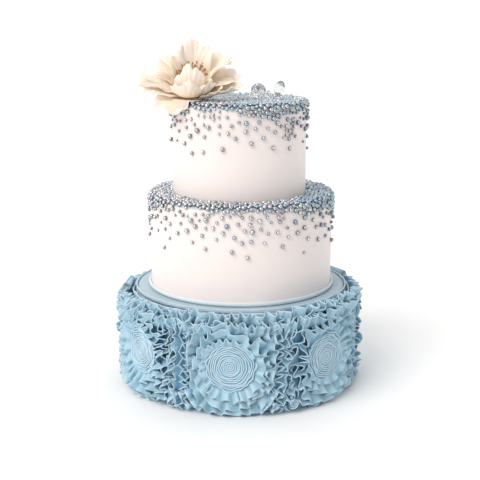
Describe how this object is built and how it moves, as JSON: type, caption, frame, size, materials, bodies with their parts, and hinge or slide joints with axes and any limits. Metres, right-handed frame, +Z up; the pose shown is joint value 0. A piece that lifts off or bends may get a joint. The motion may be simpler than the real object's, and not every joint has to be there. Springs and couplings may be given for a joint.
{
  "type": "tiered wedding cake",
  "caption": "Tiered wedding cake with a ruffled blue base, blush-white upper tiers with sugar pearls, an ivory peony and clear sugar gems.",
  "frame": {"origin": "centre of the bottom tier's base, where the cake stands", "axes": "+Z up, -Y towards the front, where the peony leans and two rosettes flank a third"},
  "size_m": [0.2726, 0.2722, 0.3729],
  "materials": {
    "blue_fondant": "matte",
    "pale_blue_fondant": "matte",
    "blush_fondant": "satin",
    "ivory_paste": "matte",
    "stamens": "matte",
    "clear_sugar": "polished"
  },
  "bodies": {
    "root": {"base_rope": "pale_blue_fondant", "bottom_tier": "blue_fondant", "bud_1": "blue_fondant", "bud_2": "blue_fondant", "collar": "blue_fondant", "edge_strip": "pale_blue_fondant", "flower_heart": "ivory_paste", "frill_1": "blue_fondant", "frill_2": "blue_fondant", "frill_3": "blue_fondant", "frill_4": "blue_fondant", "frill_5": "blue_fondant", "frill_6": "blue_fondant", "frill_7": "blue_fondant", "gem_left": "clear_sugar", "gem_right": "clear_sugar", "gem_small": "clear_sugar", "middle_tier": "blush_fondant", "petal_inner_back_left": "ivory_paste", "petal_inner_back_right": "ivory_paste", "petal_inner_front": "ivory_paste", "petal_inner_left": "ivory_paste", "petal_inner_right": "ivory_paste", "petal_middle_back_left": "ivory_paste", "petal_middle_back_right": "ivory_paste", "petal_middle_front": "ivory_paste", "petal_middle_front_right": "ivory_paste", "petal_middle_left": "ivory_paste", "petal_middle_right": "ivory_paste", "petal_outer_back_left": "ivory_paste", "petal_outer_back_right": "ivory_paste", "petal_outer_front_left": "ivory_paste", "petal_outer_front_right": "ivory_paste", "petal_outer_left": "ivory_paste", "petal_outer_right": "ivory_paste", "quill_1": "blue_fondant", "quill_2": "blue_fondant", "rosette_1": "blue_fondant", "rosette_2": "blue_fondant", "rosette_3": "blue_fondant", "rosette_4": "blue_fondant", "rosette_5": "blue_fondant", "rosette_6": "blue_fondant", "rosette_7": "blue_fondant", "stamens": "stamens", "top_tier": "blush_fondant"}
  },
  "joints": []
}
